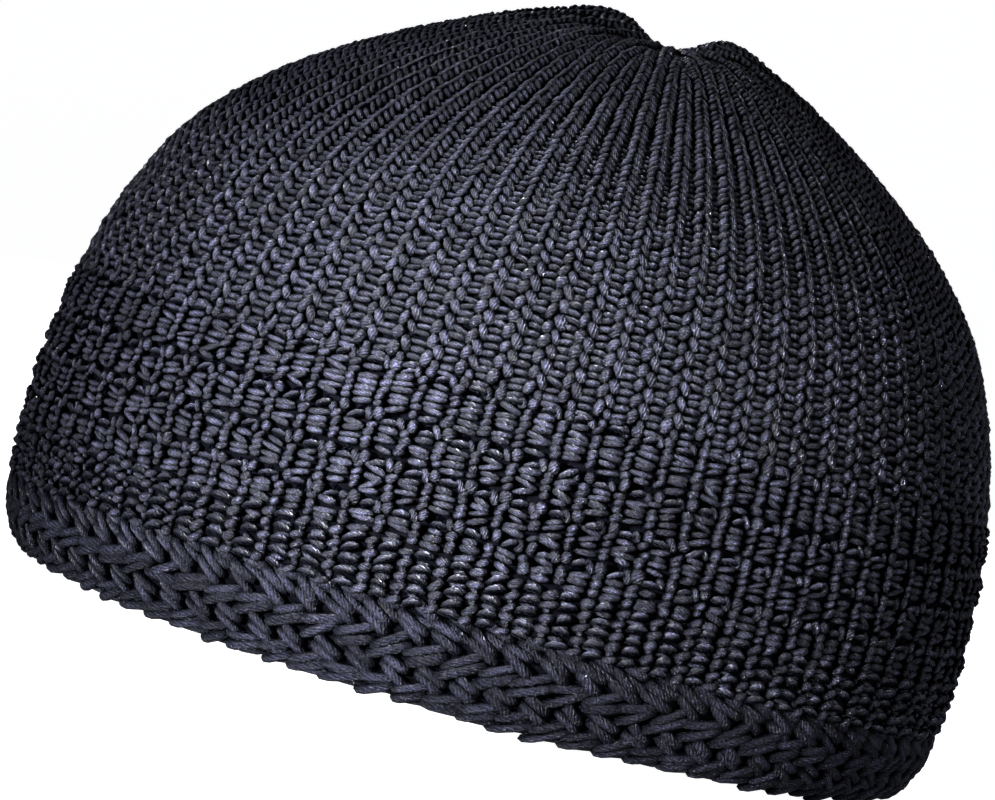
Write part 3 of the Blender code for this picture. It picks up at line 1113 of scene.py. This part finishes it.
def lay_bars(yarn, dome, sizes):
    """Lays the bars in the grooves between the ribs, until the ribs close over them."""
    distance = row_list()[1] + sizes.bar_pitch / 2
    ribs = np.arange(dome.form.rib_count) + 0.5
    while True:
        pitch = dome.girth_at(dome.edge + distance) * dome.rib_pitch
        if pitch < sizes.closed_pitch:
            return
        wide = min(sizes.rib_width, sizes.rib_fill * pitch)
        sunk = np.interp(pitch, *BAR_SINK)
        yarn.lay(
            ribs,
            dome.crown_walk(ribs, distance),
            -sunk - BAR_DEEPER,
            math.radians(BAR_TILT),
            (pitch - wide) / 2 + sizes.bar_tuck,
            sizes.bar_pitch * BAR_WIDE,
            BAR_THICK,
            arch=BAR_ARCH,
        )
        distance += sizes.bar_pitch


class KUFI_OT_side_ribs(KufiStep, bpy.types.Operator):
    """Knit the open ribs of the sides"""

    bl_idname = "kufi.side_ribs"
    bl_label = "Side Ribs"

    def execute(self, context):
        settings, dome, yarn = self.prepare(context, 3)
        lay_legs(yarn, dome, settings.knit, 0.0, settings.knit.ribs_top)
        lay_row(yarn, dome, "foot", row_list()[1], FOOT_PITCH)
        self.knit_crown("side_ribs", yarn, settings.finish, sides=7)
        bars = self.prepare(context, 4)[2]
        lay_bars(bars, dome, settings.knit)
        self.knit_crown("side_bars", bars, settings.finish, sides=5, fullness=0.6)
        return {"FINISHED"}


class KUFI_OT_top_ribs(KufiStep, bpy.types.Operator):
    """Knit the closed ribs of the top, which crowd into pleats round the gather"""

    bl_idname = "kufi.top_ribs"
    bl_label = "Top Ribs"

    def execute(self, context):
        settings, dome, yarn = self.prepare(context, 5)
        sizes = settings.knit
        lay_legs(yarn, dome, sizes, sizes.ribs_top, sizes.upper_top)
        self.knit_crown("upper_ribs", yarn, settings.finish)
        top = self.prepare(context, 6)[2]
        lay_legs(top, dome, sizes, sizes.upper_top, dome.crown_top)
        self.knit_crown("top_ribs", top, settings.finish, sides=5)
        return {"FINISHED"}


class KUFI_OT_inner_loops(KufiStep, bpy.types.Operator):
    """Knit the inside of the crown, where columns of loops stand behind the grooves of the outside"""

    bl_idname = "kufi.inner_loops"
    bl_label = "Inner Loops"

    def execute(self, context):
        settings, dome, yarn = self.prepare(context, 8)
        pitch = settings.knit.inner_pitch
        top = (dome.length - dome.edge) * INNER_REACH
        for course, distance in enumerate(np.arange(pitch / 2, top, pitch)):
            ribs, room = rib_places(dome, dome.edge + distance)
            ribs = ribs + 0.5
            scale = np.minimum(room / dome.rib_pitch, 1.0)
            walked = dome.crown_walk(ribs, distance)
            depth = settings.form.wall + INNER_STAND + WALL_PLEAT * dome.pleat(ribs, walked)
            yarn.lay(
                ribs,
                walked,
                -depth,
                math.radians(INNER_TILT if course % 2 else -INNER_TILT),
                pitch * INNER_HALF,
                INNER_WIDE * scale ** 0.8,
                INNER_THICK * scale,
                inside=True,
            )
        self.knit_crown("inner_loops", yarn, settings.finish, sides=5, rings=3)
        return {"FINISHED"}


def braid_core(name, dome, low, high, material):
    """A closed ring inside a braid, which the strands lie on."""
    form = dome.form
    rib = np.arange(CORE_COLUMNS * form.rib_count) / CORE_COLUMNS
    outer = []
    inner = []
    for height in np.linspace(low, high, CORE_ROWS):
        place, outward, _, _ = dome.axes(rib, dome.rim_walk(rib, height))
        narrower = CORE_NARROWS if height < CORE_LOW else 0.0
        outer.append(place - (CORE_DEPTH + narrower) * outward)
        inner.append(place - (form.braid_depth - CORE_COVER - narrower) * outward)
    return shell(name, np.array(outer), np.array(inner), form.rib_count, 1.0, material, False)


def lay_braid(yarn, dome, name, low, high, half_gap):
    """Lays the doubled strands of a braid on its outside, and single ones on its inside."""
    ribs = np.arange(dome.form.rib_count, dtype=float)
    for rise, tilt, half, shift, out in STRANDS[name]:
        height = low + rise * (high - low)
        apart = half_gap / math.sin(math.radians(abs(tilt)))
        for step in (-1, 1):
            place = ribs + shift
            way = dome.rim_walk(place, height + step * apart)
            yarn.lay(place, way, out, math.radians(tilt), half, **STRAND_SHAPE)
    for rise, tilt in INNER_STRANDS:
        height = low + rise * (high - low)
        way = dome.rim_walk(ribs, height)
        out = CORE_COVER - dome.form.braid_depth
        yarn.lay(ribs, way, out, math.radians(tilt), inside=True, **INNER_STRAND_SHAPE)


class KUFI_OT_braids(KufiStep, bpy.types.Operator):
    """Plait the two flat braids round the rim"""

    bl_idname = "kufi.braids"
    bl_label = "Braids"

    def execute(self, context):
        settings, dome, _ = self.prepare(context)
        form = settings.form
        # The cores are near black, as painted shade in the gaps between the strands
        backing = shared_material("dark_backing_yarn", settings.finish)
        # The braids' strands take a copy of the knit yarn that is painted darker, as painted shade
        material = shared_material("satin_braid_yarn", settings.finish)
        upper_low = form.lower_braid + form.gap
        spans = {"lower_braid": (0.0, form.lower_braid), "upper_braid": (upper_low, dome.rim_height)}
        for seed, (name, (low, high)) in enumerate(spans.items(), 10):
            core = braid_core(name + "_core", dome, low + CORE_INSET[name], high, backing)
            yarn = self.prepare(context, seed)[2]
            lay_braid(yarn, dome, name, low, high, settings.knit.strand_half_gap)
            strands = knit(name + "_strands", yarn, material, sides=8, rings=6, fullness=0.95)
            for piece in (core, strands):
                fit(piece, name)
        return {"FINISHED"}


def area_light(name, place, aim, side, spread, power, tint):
    """A soft square light that looks at a point, and spreads over an angle given in degrees."""
    lamp = bpy.data.lights.new(name, "AREA")
    lamp.shape = "SQUARE"
    lamp.size = side
    lamp.energy = power
    lamp.spread = math.radians(spread)
    lamp.color = tint
    light = add_object(name, lamp)
    light.location = place
    light.rotation_euler = (Vector(aim) - Vector(place)).to_track_quat("-Z", "Y").to_euler()
    light.visible_camera = False


class KUFI_OT_stage(KufiStep, bpy.types.Operator):
    """Set up the pale floor and backdrop, the soft lights and the camera"""

    bl_idname = "kufi.stage"
    bl_label = "Stage"

    def execute(self, context):
        stage = context.scene.kufi.stage
        self.backdrop(stage)
        for name, values in LIGHTS.items():
            area_light(name + "_light", *values, getattr(stage, name + "_power"), stage.light_tint)
        world = bpy.data.worlds.new("studio_world")
        world.use_nodes = True
        background = world.node_tree.nodes["Background"]
        background.inputs["Color"].default_value = (*stage.sky, 1.0)
        background.inputs["Strength"].default_value = stage.ambient
        context.scene.world = world
        context.scene.view_settings.view_transform = "Standard"
        self.camera(context.scene, stage)
        return {"FINISHED"}

    def backdrop(self, stage):
        """A floor that curves up into a wall behind the cap."""
        radius = stage.floor_curve
        profile = [(stage.floor_near, 0.0), (stage.floor_far, 0.0)]
        for angle in np.linspace(0.0, math.pi / 2, FLOOR_STEPS + 1)[1:]:
            profile.append((stage.floor_far + radius * math.sin(angle), radius * (1 - math.cos(angle))))
        profile.append((stage.floor_far + radius, stage.floor_top))
        corners = [(side * stage.floor_width / 2, y, z) for y, z in profile for side in (-1, 1)]
        faces = [(2 * i, 2 * i + 1, 2 * i + 3, 2 * i + 2) for i in range(len(profile) - 1)]
        mesh = bpy.data.meshes.new("floor")
        mesh.from_pydata(corners, [], faces)
        mesh.shade_smooth()
        material, tree, shader = principled("floor_paper")
        place = new_node(tree, "ShaderNodeTexCoord").outputs["Object"]
        grain = noise(tree, place, FLOOR_GRAIN, 3.0)
        darker = tuple(channel * FLOOR_DARKER for channel in stage.floor)
        tree.links.new(mix_colors(tree, grain, darker, tuple(stage.floor)), shader.inputs["Base Color"])
        shader.inputs["Roughness"].default_value = FLOOR_ROUGHNESS
        shader.inputs["Emission Color"].default_value = (1.0, 1.0, 1.0, 1.0)
        shader.inputs["Emission Strength"].default_value = stage.floor_power
        mesh.materials.append(material)
        floor = add_object("floor", mesh)
        floor.visible_diffuse = False
        floor.visible_glossy = False

    def camera(self, scene, stage):
        """A camera a little lower than the cap's top, rolled because the picture shows the cap tilted."""
        data = bpy.data.cameras.new("camera")
        data.lens = stage.lens
        camera = add_object("camera", data)
        place = Vector((0.0, -stage.distance, stage.camera_height))
        aim = Vector((stage.aim_along, 0.0, stage.aim_height))
        turn_to = (aim - place).to_track_quat("-Z", "Y").to_matrix().to_4x4()
        rolled = turn_to @ Matrix.Rotation(stage.roll, 4, "Z")
        camera.matrix_world = Matrix.Translation(place) @ rolled
        scene.camera = camera


STEPS = (
    KUFI_OT_crown_wall,
    KUFI_OT_edge_courses,
    KUFI_OT_banded_courses,
    KUFI_OT_side_ribs,
    KUFI_OT_top_ribs,
    KUFI_OT_inner_loops,
    KUFI_OT_braids,
    KUFI_OT_stage,
)


class KUFI_PT_panel(bpy.types.Panel):
    """Lists the cap's steps and settings"""

    bl_idname = "KUFI_PT_panel"
    bl_label = "Knitted Kufi"
    bl_space_type = "VIEW_3D"
    bl_region_type = "UI"
    bl_category = "Kufi"

    def draw(self, context):
        for step in STEPS:
            self.layout.operator(step.bl_idname)
        settings = context.scene.kufi
        for group in (settings.form, settings.knit, settings.finish, settings.stage):
            box = self.layout.box()
            for name in group.__annotations__:
                box.prop(group, name)


CLASSES = (KufiForm, KufiKnit, KufiFinish, KufiStage, KufiSettings, *STEPS, KUFI_PT_panel)


def register():
    """Adds the classes and the scene's settings."""
    for entry in CLASSES:
        bpy.utils.register_class(entry)
    bpy.types.Scene.kufi = bpy.props.PointerProperty(type=KufiSettings)


def unregister():
    """Removes the classes and the scene's settings."""
    del bpy.types.Scene.kufi
    for entry in reversed(CLASSES):
        bpy.utils.unregister_class(entry)


def main():
    """Makes every piece in order."""
    register()
    for step in STEPS:
        group, operator = step.bl_idname.split(".")
        getattr(getattr(bpy.ops, group), operator)()


if __name__ == "__main__":
    main()
